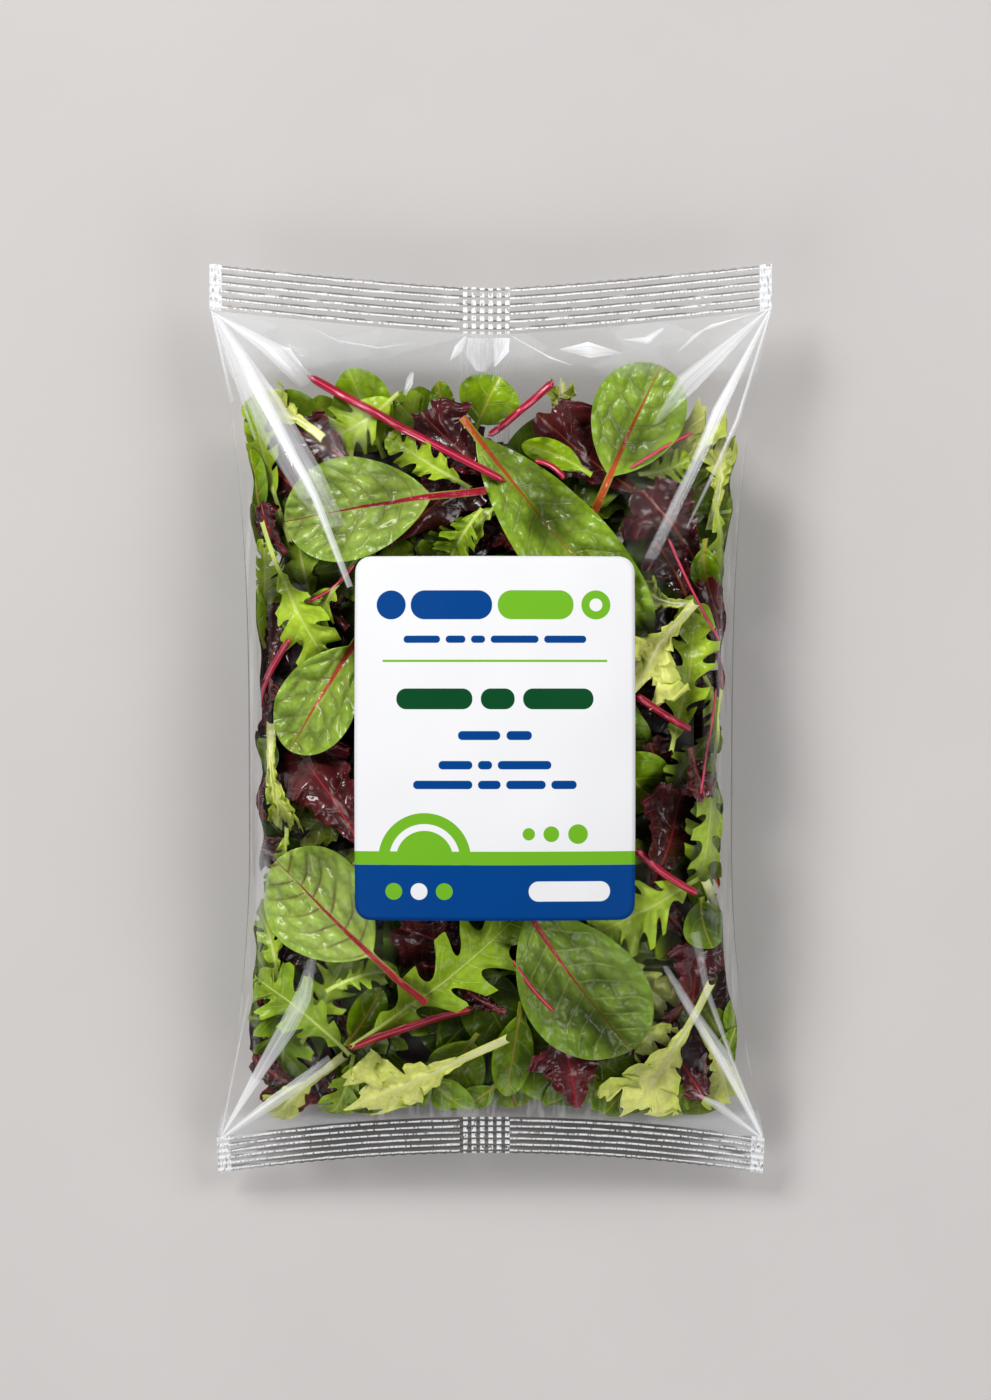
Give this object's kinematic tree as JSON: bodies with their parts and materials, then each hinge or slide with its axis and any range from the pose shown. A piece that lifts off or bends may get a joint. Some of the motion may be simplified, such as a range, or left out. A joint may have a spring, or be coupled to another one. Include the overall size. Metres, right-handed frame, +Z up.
{
  "type": "bag of salad leaves",
  "caption": "Sealed clear pillow bag full of mixed baby salad leaves, with a large label on its front, lying on its back.",
  "frame": {"origin": "under the middle of the bag, on the surface that it lies on", "axes": "+X across the bag, +Y along it to the top seal, +Z up and out of the labelled front"},
  "size_m": [0.207, 0.338, 0.0688],
  "materials": {
    "packed_leaves": "mixed green and dark red leaves behind clear film",
    "label_paper": "smooth white paper with green and blue print",
    "clear_film": "thin glossy clear film",
    "round_leaf": "waxy green leaf with a red rib",
    "lobed_leaf": "waxy bright green leaf with a pale rib",
    "frilly_leaf": "pale yellow-green frilled leaf",
    "dark_leaf": "glossy dark red crinkled leaf",
    "red_stem": "smooth crimson stalk"
  },
  "bodies": {
    "root": {"filled_bag": "packed_leaves", "label": "label_paper"}
  },
  "joints": []
}
